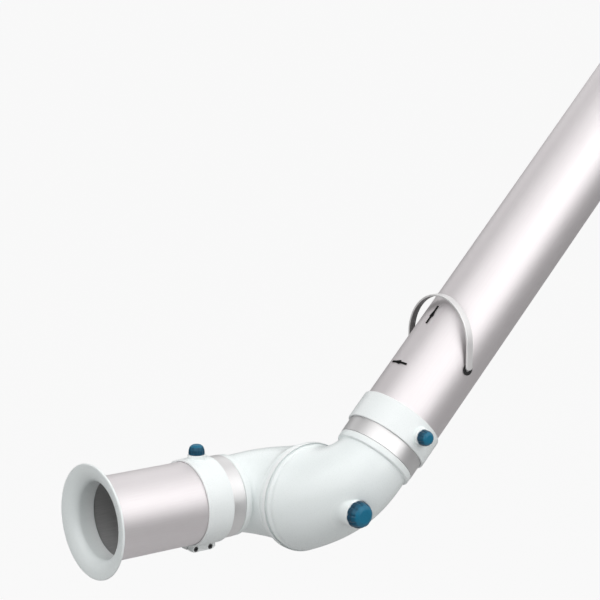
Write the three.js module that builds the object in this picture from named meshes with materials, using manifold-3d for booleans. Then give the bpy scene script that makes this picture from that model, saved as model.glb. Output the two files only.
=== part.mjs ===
// Fume extraction arm: an upper duct tube with a damper, a pivoting two-part elbow, and a nozzle
// with a bell mouth. Millimetres, +Z up. The origin is the centre of the upper tube's open upper end.
import * as THREE from "three";
import { mergeVertices } from "three/addons/utils/BufferGeometryUtils.js";
import Module from "manifold-3d";

const wasm = await Module();
wasm.setup();

// Fits and facets
const FIT = 0.3; // gap between pieces that touch
const ROUND = 32; // facets of the duct sections
const SMALL_ROUND = 12; // facets of small turned pieces
const LEAST_EDGE = 1e-4; // points closer than this are one point

// Duct
const TUBE_OD = 75;
const TUBE_WALL = 1.3;
const UPPER_TUBE_LENGTH = 431;
const NOZZLE_TUBE_LENGTH = 96;
const UPPER_RISE = 45; // degrees from level

// Elbow halves
const ELBOW_OFFSET = 47.6; // duct axis to the plane where the halves meet
const ELBOW_WALL = 3;
const RIM_RADIUS = 50.1; // of the front half, which overlaps the rear one
const RIM_DEPTH = 3.4;
const RIM_STEP = 1; // the shells stand this far inside the rim
const RIM_EDGE = 0.5;
const RIM_FACE = 7.5; // width of the friction face
const NECK_REACH = 51.6; // hinge axis to the start of the neck bead
const NECK_STEP = 2.7; // the shell stands this far inside the tube at the neck
const NECK_BEAD = 7.5;
const SPIGOT_LENGTH = 12.6;
const SPIGOT_WALL = 2.7;
const BEND_START = 0.14; // how upright the back of the bend leaves the rim
const BEND_END = 0.68; // how early the back of the bend levels off
const BEND_SKEW = 0.04; // sideways, the bend is fuller near the neck
const FRICTION_THICKNESS = 1.4;

// Elbow pivot
const PIVOT_BOLT = 8;
const PIVOT_SEAT_RADIUS = 12.2;
const PIVOT_SEAT_STEP = 5; // seat above the back of the bend
const PIVOT_SEAT_DEPTH = 15;
const PIVOT_HUB_RADIUS = 8.5;
const PIVOT_HEAD_HEIGHT = 5.3;
const PIVOT_HEAD_ACROSS = 13;
const PIVOT_WASHER_RADIUS = 8;
const PIVOT_WASHER = 1.6;
const PIVOT_SPRING_DISH = 0.6;
const PIVOT_SPRING = 0.8;
const PIVOT_NUT_HEIGHT = 4;
const PIVOT_KNOB_RADIUS = 12.2;
const PIVOT_KNOB_HEIGHT = 11;
const PIVOT_KNOB_FLUTES = 10;

// Swivel sleeve, collar and brake
const SLEEVE_EXPOSED = 14.7;
const GROOVE_DEPTH = 0.8;
const SLEEVE_LIP = 1.2; // sleeve beyond the groove
const SEAL_WIDTH = 1;
const COLLAR_WIDTH = 26.8;
const COLLAR_WALL = 1.9;
const COLLAR_EDGE = 0.6;
const BOSS_RADIUS = 8.2;
const BOSS_RISE = 3.5;
const STUD_RADIUS = 2.5;
const STUD_LENGTH = 10.5;
const PAD_THICKNESS = 1.3;
const INSERT_WALL = 1.2;
const KNOB_RADIUS = 7.4;
const KNOB_HEIGHT = 8.5;
const KNOB_FLUTES = 8;
const LUG_HALF_WIDTH = 9.4;
const LUG_REACH = 4.6; // lug beyond the collar
const LUG_INSET = 2.4; // lug short of the outer edge of the collar
const LUG_CORNER = 1.6;
const LUG_SPLIT = 2;
const LUG_SCREW = 2.5;
const LUG_SCREW_PITCH = 15.6;
const LUG_SCREW_DROP = 1.9; // screw axis beyond the collar
const LUG_HEAD_RADIUS = 2.25;
const LUG_HEAD_HEIGHT = 2.5;
const LUG_NUT_ACROSS = 5;
const LUG_NUT_HEIGHT = 2;
const UPPER_KNOB_TURN = -3; // degrees from the face of the elbow
const LOWER_KNOB_TURN = -90;

// Nozzle bell
const BELL_RADIUS = 51.2;
const BELL_DEPTH = 10;
const BELL_WALL = 2.2;
const BELL_SPIGOT = 16;
const BELL_SPIGOT_WALL = 1.4;
const BELL_CURVE_STEPS = 5;

// Damper
const DAMPER_FROM_COLLAR = 64; // upper collar edge to the damper shaft
const BAIL_WIDTH = 7;
const BAIL_THICKNESS = 2;
const BAIL_LEG = 22.8;
const BAIL_FOOT = 0.3;
const BAIL_LEAN = 45; // degrees from square to the tube
const BUSH_FLANGE_RADIUS = 4.6;
const BUSH_FLANGE = 0.7;
const BUSH_WALL = 0.9;
const BUSH_GAP = 0.2;
const PIN_RADIUS = 2;
const PIN_REACH = 16; // flat of the pin along the disc
const DISC_THICKNESS = 1.2;
const DISC_CLEARANCE = 0.8;
const DISC_SCREW = 2;
const DISC_SCREW_HEAD_RADIUS = 1.9;
const DISC_SCREW_HEAD = 1.2;

// Arrow marks
const MARK_THICKNESS = 0.4;
const MARK_LENGTH = 20;
const MARK_LINE = 1.4;
const MARK_HEAD_WIDTH = 4.2;
const MARK_HEAD_LENGTH = 6;
const MARK_STEP = 2; // spacing of points along a mark
const OPEN_MARK_FROM_SHAFT = 26.3;
const OPEN_MARK_TURN = 3; // degrees past the top of the tube
const SHUT_MARK_FROM_SHAFT = -28.7;
const SHUT_MARK_TURN = 6;

// Finishes
const ALUMINIUM = { color: 0xd0cbcd, roughness: 0.36, metalness: 0.9 };
const WHITE_PLASTIC = { color: 0xe6ebe9, roughness: 0.42, metalness: 0 };
const BLUE_PLASTIC = { color: 0x1b5c88, roughness: 0.38, metalness: 0 };
const BLACK_PLASTIC = { color: 0x1c1d1f, roughness: 0.5, metalness: 0 };
const BLACK_PAINT = { color: 0x161616, roughness: 0.6, metalness: 0 };
const DARK_FRICTION = { color: 0x3a3b3c, roughness: 0.85, metalness: 0 };
const RUBBER = { color: 0x202122, roughness: 0.8, metalness: 0 };
const NYLON = { color: 0xdedacb, roughness: 0.55, metalness: 0 };
const STEEL = { color: 0xa9abad, roughness: 0.3, metalness: 1 };
const BLACK_STEEL = { color: 0x2a2b2d, roughness: 0.45, metalness: 0.8 };
const BRASS = { color: 0xb9964f, roughness: 0.35, metalness: 1 };

// Sizes that follow from those above
const tubeRadius = TUBE_OD / 2;
const boreRadius = tubeRadius - TUBE_WALL;
const spigotRadius = boreRadius - FIT;
const neckEnd = NECK_REACH + NECK_BEAD;
const spigotEnd = neckEnd + SPIGOT_LENGTH;
const sleeveStart = neckEnd + FIT;
const collarStart = sleeveStart + SLEEVE_EXPOSED;
const collarCentre = collarStart + COLLAR_WIDTH / 2;
const collarEnd = collarStart + COLLAR_WIDTH;
const collarBore = tubeRadius + FIT;
const collarRadius = collarBore + COLLAR_WALL;
const grooveHalf = STUD_RADIUS + 2 * FIT;
const grooveRadius = tubeRadius - GROOVE_DEPTH;
const sleeveEnd = collarCentre + grooveHalf + GROOVE_DEPTH + SLEEVE_LIP;
const sealStart = sleeveEnd + FIT;
const tubeStart = sealStart + SEAL_WIDTH + FIT;
const upperEnd = tubeStart + UPPER_TUBE_LENGTH;
const nozzleEnd = tubeStart + NOZZLE_TUBE_LENGTH;
const damperAt = collarEnd + DAMPER_FROM_COLLAR;

const part = new THREE.Group();

// A geometry as a solid, right side out.
function toSolid(geometry) {
  const bare = new THREE.BufferGeometry();
  bare.setAttribute("position", geometry.getAttribute("position"));
  bare.setIndex(geometry.index);
  const merged = mergeVertices(bare, LEAST_EDGE);
  const corners = merged.index.array;
  const points = merged.getAttribute("position");
  const a = new THREE.Vector3();
  const b = new THREE.Vector3();
  const c = new THREE.Vector3();
  const faces = [];
  let volume = 0;
  for (let i = 0; i < corners.length; i += 3) {
    const [p, q, r] = corners.slice(i, i + 3);
    if (p === q || q === r || r === p) continue;
    a.fromBufferAttribute(points, p);
    b.fromBufferAttribute(points, q);
    c.fromBufferAttribute(points, r);
    volume += a.dot(b.cross(c));
    faces.push([p, q, r]);
  }
  const facing = volume < 0 ? faces.map(([p, q, r]) => [p, r, q]) : faces;
  const triVerts = new Uint32Array(facing.flat());
  const vertProperties = new Float32Array(points.array);
  return new wasm.Manifold(new wasm.Mesh({ numProp: 3, vertProperties, triVerts }));
}

// A solid as a geometry.
function toGeometry(made) {
  const mesh = made.getMesh();
  const geometry = new THREE.BufferGeometry();
  geometry.setAttribute("position", new THREE.BufferAttribute(mesh.vertProperties, 3));
  geometry.setIndex(new THREE.BufferAttribute(mesh.triVerts, 1));
  return geometry;
}

function join(first, ...others) {
  return toGeometry(others.reduce((sum, next) => sum.add(toSolid(next)), toSolid(first)));
}

function cut(first, ...others) {
  return toGeometry(others.reduce((rest, next) => rest.subtract(toSolid(next)), toSolid(first)));
}

// A named piece in a group.
function add(group, name, geometry, finish) {
  const shape = toGeometry(toSolid(geometry));
  shape.computeVertexNormals();
  const mesh = new THREE.Mesh(shape, new THREE.MeshStandardMaterial(finish));
  mesh.name = name;
  group.add(mesh);
}

// A closed outline of [along, radius] points turned about the X axis.
function turned(outline, facets = ROUND) {
  const points = [...outline, outline[0]].map(([along, radius]) => new THREE.Vector2(radius, along));
  return new THREE.LatheGeometry(points, facets).rotateZ(-Math.PI / 2);
}

function rod(radius, from, to, facets = SMALL_ROUND) {
  return turned([[from, 0], [from, radius], [to, radius], [to, 0]], facets);
}

function ring(inner, outer, from, to, facets = ROUND) {
  return turned([[from, inner], [from, outer], [to, outer], [to, inner]], facets);
}

// Turns a shape made along X so that it stands along Y or Z.
function alongY(geometry) {
  return geometry.rotateZ(Math.PI / 2);
}

function alongZ(geometry) {
  return geometry.rotateY(-Math.PI / 2);
}

function hexagon(across, from, to) {
  return rod(across / Math.sqrt(3), from, to, 6);
}

function block(xs, ys, zs) {
  const size = [xs, ys, zs].map(([low, high]) => high - low);
  const middle = [xs, ys, zs].map(([low, high]) => (high + low) / 2);
  return new THREE.BoxGeometry(...size).translate(...middle);
}

// Loops with equal numbers of points, skinned one to the next.
function skinned(loops, closed) {
  const count = loops[0].length;
  const spans = closed ? loops.length : loops.length - 1;
  const index = [];
  for (let row = 0; row < spans; row += 1) {
    const here = row * count;
    const there = ((row + 1) % loops.length) * count;
    for (let k = 0; k < count; k += 1) {
      const next = (k + 1) % count;
      index.push(here + k, here + next, there + next);
      index.push(here + k, there + next, there + k);
    }
  }
  const geometry = new THREE.BufferGeometry().setFromPoints(loops.flat());
  geometry.setIndex(index);
  return geometry;
}

// A fluted knob along X, from its base at zero to its domed top.
function flutedKnob(radius, height, flutes) {
  const facets = flutes * 4;
  const rows = [[0, 0], [0, 0.94], [0.1, 1], [0.6, 0.88], [0.86, 0.76], [1, 0.52], [1, 0]];
  const loops = rows.map(([rise, share]) => {
    const depth = rise > 0.9 ? 0 : 0.08;
    return Array.from({ length: facets }, (_, k) => {
      const angle = (k / facets) * 2 * Math.PI;
      const reach = radius * share * (1 - depth * (0.5 - 0.5 * Math.cos(flutes * angle)));
      return new THREE.Vector3(rise * height, reach * Math.cos(angle), reach * Math.sin(angle));
    });
  });
  return skinned(loops, false);
}

// Guide curves of the bend in the plane of the duct axis and the hinge axis.
const shellRim = RIM_RADIUS - RIM_STEP;
const shellNeck = tubeRadius - NECK_STEP;
const rimFace = FRICTION_THICKNESS / 2 + FIT;
const rimTop = rimFace + RIM_DEPTH;
const bendBack = ELBOW_OFFSET + shellNeck;
const bendFront = ELBOW_OFFSET - shellNeck;
const backCurve = new THREE.CubicBezierCurve(
  new THREE.Vector2(-shellRim, rimTop),
  new THREE.Vector2(-shellRim, rimTop + BEND_START * (bendBack - rimTop)),
  new THREE.Vector2(NECK_REACH - BEND_END * (NECK_REACH + shellRim), bendBack),
  new THREE.Vector2(NECK_REACH, bendBack),
);
const frontCurve = new THREE.CubicBezierCurve(
  new THREE.Vector2(shellRim, rimTop),
  new THREE.Vector2(shellRim, (rimTop + bendFront) / 2),
  new THREE.Vector2((shellRim + NECK_REACH) / 2, bendFront),
  new THREE.Vector2(NECK_REACH, bendFront),
);

// Height of the back of the bend over the hinge axis, found by halving.
function backHeight() {
  let low = 0;
  let high = 1;
  for (let i = 0; i < 40; i += 1) {
    const middle = (low + high) / 2;
    if (backCurve.getPoint(middle).x < 0) low = middle;
    else high = middle;
  }
  return backCurve.getPoint(low).y;
}

// A loop across the bend at a share of its way, set in from the outer surface.
function bendLoop(share, inset) {
  const back = backCurve.getPoint(share);
  const front = frontCurve.getPoint(share);
  const centre = back.clone().add(front).multiplyScalar(0.5);
  const half = back.clone().sub(front).multiplyScalar(0.5);
  const radius = half.length() - inset;
  const side = half.length() * (1 - BEND_SKEW * Math.sin(2 * Math.PI * share)) - inset;
  half.normalize();
  return Array.from({ length: ROUND }, (_, k) => {
    const angle = (k / ROUND) * 2 * Math.PI;
    const reach = radius * Math.cos(angle);
    const x = centre.x + half.x * reach;
    const y = centre.y + half.y * reach;
    return new THREE.Vector3(x, y, side * Math.sin(angle));
  });
}

// A round loop about the hinge axis, and one about the duct axis.
function rimLoop(radius, height) {
  return Array.from({ length: ROUND }, (_, k) => {
    const angle = (k / ROUND) * 2 * Math.PI;
    return new THREE.Vector3(-radius * Math.cos(angle), height, radius * Math.sin(angle));
  });
}

function neckLoop(radius, along) {
  return Array.from({ length: ROUND }, (_, k) => {
    const angle = (k / ROUND) * 2 * Math.PI;
    return new THREE.Vector3(along, ELBOW_OFFSET + radius * Math.cos(angle), radius * Math.sin(angle));
  });
}

const seatTop = backHeight() + PIVOT_SEAT_STEP;
const pivotHole = PIVOT_BOLT / 2 + FIT;

// One elbow half: rim, bend, neck bead and spigot as one shell, with a hub for the pivot bolt.
function elbowHalf(rimStep) {
  const shares = [0, 0.1, 0.22, 0.36, 0.5, 0.64, 0.76, 0.88, 1];
  const innerShares = [1, 0.76, 0.5, 0.22, 0];
  const rim = shellRim + rimStep;
  const bead = tubeRadius - FIT;
  const lead = 2 * FIT;
  const outside = [
    rimLoop(rim - RIM_EDGE, rimFace),
    rimLoop(rim, rimFace + RIM_EDGE),
    rimLoop(rim, rimTop - RIM_EDGE),
    ...(rimStep > 0 ? [rimLoop(rim - RIM_EDGE, rimTop)] : []),
    ...shares.map((share) => bendLoop(share, 0)),
    neckLoop(bead - lead, NECK_REACH + FIT),
    neckLoop(bead, NECK_REACH + FIT + lead),
    neckLoop(bead, neckEnd),
  ];
  const spigot = [
    neckLoop(spigotRadius, neckEnd),
    neckLoop(spigotRadius, spigotEnd),
    neckLoop(spigotRadius - SPIGOT_WALL, spigotEnd),
  ];
  const inside = innerShares.map((share) => bendLoop(share, ELBOW_WALL));
  const lip = [
    rimLoop(RIM_RADIUS - RIM_FACE, rimTop),
    rimLoop(RIM_RADIUS - RIM_FACE, rimFace),
  ];
  const shell = skinned([...outside, ...spigot, ...inside, ...lip], true);
  const seat = alongY(rod(PIVOT_SEAT_RADIUS, seatTop - PIVOT_SEAT_DEPTH, seatTop, ROUND));
  const hub = alongY(rod(PIVOT_HUB_RADIUS, rimFace, seatTop - PIVOT_SEAT_DEPTH / 2));
  const spotFace = alongY(rod(PIVOT_SEAT_RADIUS + FIT, seatTop, 2 * seatTop, ROUND));
  const bore = alongY(rod(pivotHole, 0, 2 * seatTop));
  return cut(join(shell, seat, hub), spotFace, bore);
}

// Sleeve on the elbow spigot, with a rolled groove for the brake pad.
function sleeve() {
  const from = collarCentre - grooveHalf;
  const to = collarCentre + grooveHalf;
  const outer = [
    [sleeveStart, tubeRadius],
    [from - GROOVE_DEPTH, tubeRadius],
    [from, grooveRadius],
    [to, grooveRadius],
    [to + GROOVE_DEPTH, tubeRadius],
    [sleeveEnd, tubeRadius],
  ];
  const inner = outer.map(([along, radius]) => [along, radius - TUBE_WALL]).reverse();
  return turned([...outer, ...inner]);
}

const bossTop = collarRadius + BOSS_RISE;
const insertRadius = STUD_RADIUS + FIT + INSERT_WALL;
const padTop = grooveRadius + FIT + PAD_THICKNESS;
const insertSeat = padTop + FIT;
const screwAt = collarRadius + LUG_SCREW_DROP;
const headSeat = LUG_HALF_WIDTH - LUG_HEAD_HEIGHT - 2 * FIT;
const nutSeat = LUG_HALF_WIDTH - LUG_NUT_HEIGHT - FIT;

// Split clamp collar about X, knob boss towards +Y and lug towards -Y.
function collar() {
  const half = COLLAR_WIDTH / 2;
  const band = turned([
    [-half, 0],
    [-half, collarRadius - COLLAR_EDGE],
    [COLLAR_EDGE - half, collarRadius],
    [half - COLLAR_EDGE, collarRadius],
    [half, collarRadius - COLLAR_EDGE],
    [half, 0],
  ]);
  const boss = alongY(rod(BOSS_RADIUS, boreRadius, bossTop, 2 * SMALL_ROUND));
  const lugEnd = collarRadius + LUG_REACH;
  const corner = LUG_HALF_WIDTH - LUG_CORNER;
  const lugShape = new THREE.Shape();
  lugShape.moveTo(-LUG_HALF_WIDTH, -boreRadius);
  lugShape.lineTo(-LUG_HALF_WIDTH, LUG_CORNER - lugEnd);
  lugShape.absarc(-corner, LUG_CORNER - lugEnd, LUG_CORNER, Math.PI, 1.5 * Math.PI);
  lugShape.lineTo(corner, -lugEnd);
  lugShape.absarc(corner, LUG_CORNER - lugEnd, LUG_CORNER, 1.5 * Math.PI, 2 * Math.PI);
  lugShape.lineTo(LUG_HALF_WIDTH, -boreRadius);
  const lug = new THREE.ExtrudeGeometry(lugShape, {
    depth: COLLAR_WIDTH - LUG_INSET,
    bevelEnabled: false,
    curveSegments: 4,
  });
  lug.translate(0, 0, -half).rotateY(Math.PI / 2);
  const split = block([-COLLAR_WIDTH, COLLAR_WIDTH], [-2 * lugEnd, 0], [-LUG_SPLIT / 2, LUG_SPLIT / 2]);
  const holes = [-1, 1].flatMap((side) => {
    const across = (side * LUG_SCREW_PITCH) / 2;
    const through = alongZ(rod(LUG_SCREW / 2 + FIT, -2 * LUG_HALF_WIDTH, 2 * LUG_HALF_WIDTH));
    const head = alongZ(rod(LUG_HEAD_RADIUS + FIT, -2 * LUG_HALF_WIDTH, -headSeat));
    const nut = alongZ(hexagon(LUG_NUT_ACROSS + 2 * FIT, nutSeat, 2 * LUG_HALF_WIDTH));
    return [through, head, nut].map((shape) => shape.translate(across, -screwAt, 0));
  });
  return cut(
    join(band, boss, lug),
    rod(collarBore, -COLLAR_WIDTH, COLLAR_WIDTH, ROUND),
    split,
    ...holes,
    alongY(rod(STUD_RADIUS + FIT, 0, 2 * bossTop)),
    alongY(rod(insertRadius + FIT, insertSeat, 2 * bossTop)),
  );
}

function lugScrew() {
  const under = headSeat + FIT;
  const middle = under + LUG_HEAD_HEIGHT / 2;
  const head = rod(LUG_HEAD_RADIUS, -under - LUG_HEAD_HEIGHT, -under);
  const shank = rod(LUG_SCREW / 2, -middle, nutSeat + LUG_NUT_HEIGHT);
  const socket = hexagon(LUG_SCREW - FIT, -2 * LUG_HALF_WIDTH, -middle);
  return alongZ(cut(join(head, shank), socket));
}

function lugNut() {
  const body = hexagon(LUG_NUT_ACROSS, nutSeat + FIT, nutSeat + LUG_NUT_HEIGHT);
  return alongZ(cut(body, rod(LUG_SCREW / 2 + FIT, 0, 2 * LUG_HALF_WIDTH)));
}

// A collar with its clamp screws, brake and knob, set round the end of a tube.
function swivel(group, name, turn) {
  const set = new THREE.Group();
  set.position.set(collarCentre, ELBOW_OFFSET, 0);
  set.rotation.x = THREE.MathUtils.degToRad(turn);
  group.add(set);
  add(set, `${name}_collar`, collar(), WHITE_PLASTIC);
  [-1, 1].forEach((side, k) => {
    const across = (side * LUG_SCREW_PITCH) / 2;
    add(set, `${name}_collar_screw_${k + 1}`, lugScrew().translate(across, -screwAt, 0), BLACK_STEEL);
    add(set, `${name}_collar_nut_${k + 1}`, lugNut().translate(across, -screwAt, 0), STEEL);
  });
  const insert = ring(STUD_RADIUS + FIT, insertRadius, insertSeat + FIT, bossTop - FIT, SMALL_ROUND);
  add(set, `${name}_knob_insert`, alongY(insert), BRASS);
  add(set, `${name}_brake_pad`, alongY(rod(STUD_RADIUS, grooveRadius + FIT, padTop)), NYLON);
  const studEnd = insertSeat + STUD_LENGTH;
  add(set, `${name}_swivel_stud`, alongY(rod(STUD_RADIUS, insertSeat, studEnd)), STEEL);
  const knob = flutedKnob(KNOB_RADIUS, KNOB_HEIGHT, KNOB_FLUTES).translate(bossTop + FIT, 0, 0);
  const knobBore = rod(STUD_RADIUS + FIT, 0, studEnd + FIT);
  add(set, `${name}_swivel_knob`, alongY(cut(knob, knobBore)), BLUE_PLASTIC);
  const seal = ring(boreRadius, tubeRadius, sealStart, sealStart + SEAL_WIDTH);
  add(group, `${name}_swivel_seal`, seal.translate(0, ELBOW_OFFSET, 0), RUBBER);
}

// The two limbs share one layout: X out along the duct, Y away from the other elbow half.
const rise = THREE.MathUtils.degToRad(UPPER_RISE);
const upper = new THREE.Group();
const upperAxis = new THREE.Vector3(Math.cos(rise), 0, Math.sin(rise));
const towardsViewer = new THREE.Vector3(0, -1, 0);
upper.quaternion.setFromRotationMatrix(
  new THREE.Matrix4().makeBasis(upperAxis, towardsViewer, upperAxis.clone().cross(towardsViewer)),
);
const lower = new THREE.Group();
lower.rotation.y = Math.PI;
part.add(upper, lower);

// Elbow
add(upper, "elbow_front_half", elbowHalf(RIM_STEP), WHITE_PLASTIC);
add(lower, "elbow_rear_half", elbowHalf(0), WHITE_PLASTIC);
const frictionRing = ring(RIM_RADIUS - RIM_FACE, RIM_RADIUS - 2 * RIM_STEP, -FRICTION_THICKNESS / 2,
  FRICTION_THICKNESS / 2);
add(lower, "elbow_friction_ring", alongY(frictionRing), DARK_FRICTION);

// Pivot: bolt head and washer behind, washer, disc spring and knob in front
const washerTop = seatTop + FIT + PIVOT_WASHER;
const headBase = washerTop + FIT;
const springBase = washerTop + FIT;
const springTop = springBase + PIVOT_SPRING + PIVOT_SPRING_DISH;
const knobBase = seatTop + FIT;
const knobTop = knobBase + PIVOT_KNOB_HEIGHT;
const nutBase = springTop + FIT;
const nutTop = nutBase + PIVOT_NUT_HEIGHT;
const nutAcross = PIVOT_HEAD_ACROSS;
const pivotWasher = () => alongY(ring(pivotHole, PIVOT_WASHER_RADIUS, seatTop + FIT, washerTop, SMALL_ROUND));
add(lower, "pivot_washer_rear", pivotWasher(), STEEL);
add(upper, "pivot_washer_front", pivotWasher(), STEEL);
const boltHead = hexagon(PIVOT_HEAD_ACROSS, headBase, headBase + PIVOT_HEAD_HEIGHT);
const boltShank = rod(PIVOT_BOLT / 2, -nutTop, headBase + PIVOT_HEAD_HEIGHT / 2);
add(lower, "pivot_bolt", alongY(join(boltHead, boltShank)), STEEL);
const spring = turned([
  [springBase, PIVOT_WASHER_RADIUS],
  [springBase + PIVOT_SPRING, PIVOT_WASHER_RADIUS],
  [springTop, pivotHole],
  [springTop - PIVOT_SPRING, pivotHole],
], SMALL_ROUND);
add(upper, "pivot_disc_spring", alongY(spring), STEEL);
const pivotNut = cut(hexagon(nutAcross, nutBase, nutTop), rod(pivotHole, 0, 2 * nutTop));
add(upper, "pivot_knob_nut", alongY(pivotNut), BRASS);
const pivotKnob = cut(
  flutedKnob(PIVOT_KNOB_RADIUS, PIVOT_KNOB_HEIGHT, PIVOT_KNOB_FLUTES).translate(knobBase, 0, 0),
  rod(PIVOT_WASHER_RADIUS + 2 * FIT, 0, nutBase, 2 * SMALL_ROUND),
  hexagon(nutAcross + 2 * FIT, 0, nutTop + FIT),
);
add(upper, "pivot_knob", alongY(pivotKnob), BLUE_PLASTIC);

// Nozzle limb
const atDuct = (geometry) => geometry.translate(0, ELBOW_OFFSET, 0);
add(lower, "lower_sleeve", atDuct(sleeve()), ALUMINIUM);
swivel(lower, "lower", LOWER_KNOB_TURN);
add(lower, "nozzle_tube", atDuct(ring(boreRadius, tubeRadius, tubeStart, nozzleEnd)), ALUMINIUM);

// Bell: a spigot in the tube that opens to the lip along a quarter of an ellipse.
const bellShoulder = nozzleEnd + FIT;
const bellBore = spigotRadius - BELL_SPIGOT_WALL;
const bellLip = BELL_RADIUS - BELL_WALL / 2;
const bellFront = bellShoulder - BELL_WALL + BELL_DEPTH;
const quarter = Array.from({ length: BELL_CURVE_STEPS + 1 }, (_, k) => (k / BELL_CURVE_STEPS) * (Math.PI / 2));
const bellInside = quarter.map((angle) => [
  bellFront - BELL_DEPTH * (1 - Math.cos(angle)),
  bellLip - (bellLip - bellBore) * Math.sin(angle),
]);
const bellBack = bellFront - BELL_WALL;
const shoulderRadius = tubeRadius + FIT;
const bellOutside = quarter.slice(0, -1).map((angle) => [
  bellBack - (bellBack - bellShoulder) * (1 - Math.cos(angle)),
  bellLip - (bellLip - shoulderRadius) * Math.sin(angle),
]).reverse();
const bell = turned([
  ...bellInside,
  [bellShoulder - BELL_SPIGOT, bellBore],
  [bellShoulder - BELL_SPIGOT, spigotRadius],
  [bellShoulder, spigotRadius],
  [bellShoulder, shoulderRadius],
  ...bellOutside,
  [bellBack + BELL_WALL / 4, BELL_RADIUS - BELL_WALL / 8],
  [bellBack + BELL_WALL / 2, BELL_RADIUS],
  [bellFront - BELL_WALL / 4, BELL_RADIUS - BELL_WALL / 8],
]);
add(lower, "nozzle_flange", atDuct(bell), WHITE_PLASTIC);

// Upper limb
add(upper, "upper_sleeve", atDuct(sleeve()), ALUMINIUM);
swivel(upper, "upper", UPPER_KNOB_TURN);
const bushRadius = PIN_RADIUS + FIT + BUSH_WALL;
const shaftHole = alongY(rod(bushRadius + FIT, -TUBE_OD, TUBE_OD)).translate(damperAt, 0, 0);
const upperTube = cut(ring(boreRadius, tubeRadius, tubeStart, upperEnd), shaftHole);
add(upper, "upper_tube", atDuct(upperTube), ALUMINIUM);

// Damper: bail over the tube, a pin through a bush at each side, and a disc screwed to the pins
const damper = new THREE.Group();
damper.position.set(damperAt, ELBOW_OFFSET, 0);
upper.add(damper);
const flangeBase = tubeRadius + BUSH_GAP;
const flangeTop = flangeBase + BUSH_FLANGE;
const bailInner = flangeTop + BUSH_GAP;
const bailOuter = bailInner + BAIL_THICKNESS;
const discRadius = boreRadius - DISC_CLEARANCE;
const pinShoulder = discRadius + FIT;
const pinEnd = discRadius - PIN_REACH;
const discScrewAt = discRadius - PIN_REACH / 2;
const flat = DISC_THICKNESS / 2 + FIT;

const bailShape = new THREE.Shape();
bailShape.moveTo(-bailOuter, -BAIL_FOOT);
bailShape.lineTo(-bailInner, -BAIL_FOOT);
bailShape.lineTo(-bailInner, BAIL_LEG);
bailShape.absarc(0, BAIL_LEG, bailInner, Math.PI, 0, true);
bailShape.lineTo(bailInner, -BAIL_FOOT);
bailShape.lineTo(bailOuter, -BAIL_FOOT);
bailShape.lineTo(bailOuter, BAIL_LEG);
bailShape.absarc(0, BAIL_LEG, bailOuter, 0, Math.PI);
const bail = new THREE.ExtrudeGeometry(bailShape, { depth: BAIL_WIDTH, bevelEnabled: false, curveSegments: 20 });
bail.translate(0, 0, -BAIL_WIDTH / 2).applyMatrix4(new THREE.Matrix4().makeBasis(
  new THREE.Vector3(0, 1, 0),
  new THREE.Vector3(0, 0, -1),
  new THREE.Vector3(-1, 0, 0),
));
bail.rotateY(-THREE.MathUtils.degToRad(BAIL_LEAN));
add(damper, "damper_bail", bail, ALUMINIUM);

const bush = turned([
  [boreRadius, PIN_RADIUS + FIT],
  [boreRadius, bushRadius],
  [flangeBase, bushRadius],
  [flangeBase, BUSH_FLANGE_RADIUS],
  [flangeTop, BUSH_FLANGE_RADIUS],
  [flangeTop, PIN_RADIUS + FIT],
], SMALL_ROUND);
const pinRound = rod(PIN_RADIUS, pinEnd, bailInner - BUSH_GAP);
const pinFlat = block([0, pinShoulder], [-2 * PIN_RADIUS, 2 * PIN_RADIUS], [-flat, 2 * PIN_RADIUS]);
const pinHole = alongZ(rod(DISC_SCREW / 2 + FIT, -TUBE_OD, TUBE_OD)).translate(discScrewAt, 0, 0);
const pin = cut(pinRound, pinFlat, pinHole);
const headTop = flat + DISC_SCREW_HEAD;
const discScrew = alongZ(join(
  rod(DISC_SCREW_HEAD_RADIUS, flat, headTop),
  rod(DISC_SCREW / 2, -PIN_RADIUS, flat + DISC_SCREW_HEAD / 2),
)).translate(discScrewAt, 0, 0);
const discHole = alongZ(rod(DISC_SCREW / 2 + FIT, -TUBE_OD, TUBE_OD)).translate(discScrewAt, 0, 0);
const disc = cut(
  alongZ(rod(discRadius, -DISC_THICKNESS / 2, DISC_THICKNESS / 2, ROUND)),
  discHole,
  discHole.clone().rotateZ(Math.PI),
);
add(damper, "damper_disc", disc.rotateZ(Math.PI / 2), ALUMINIUM);
[["near", Math.PI / 2], ["far", -Math.PI / 2]].forEach(([side, turn]) => {
  add(damper, `damper_bush_${side}`, bush.clone().rotateZ(turn), BLACK_PLASTIC);
  add(damper, `damper_pin_${side}`, pin.clone().rotateZ(turn), STEEL);
  add(damper, `damper_screw_${side}`, discScrew.clone().rotateZ(turn), STEEL);
});

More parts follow.
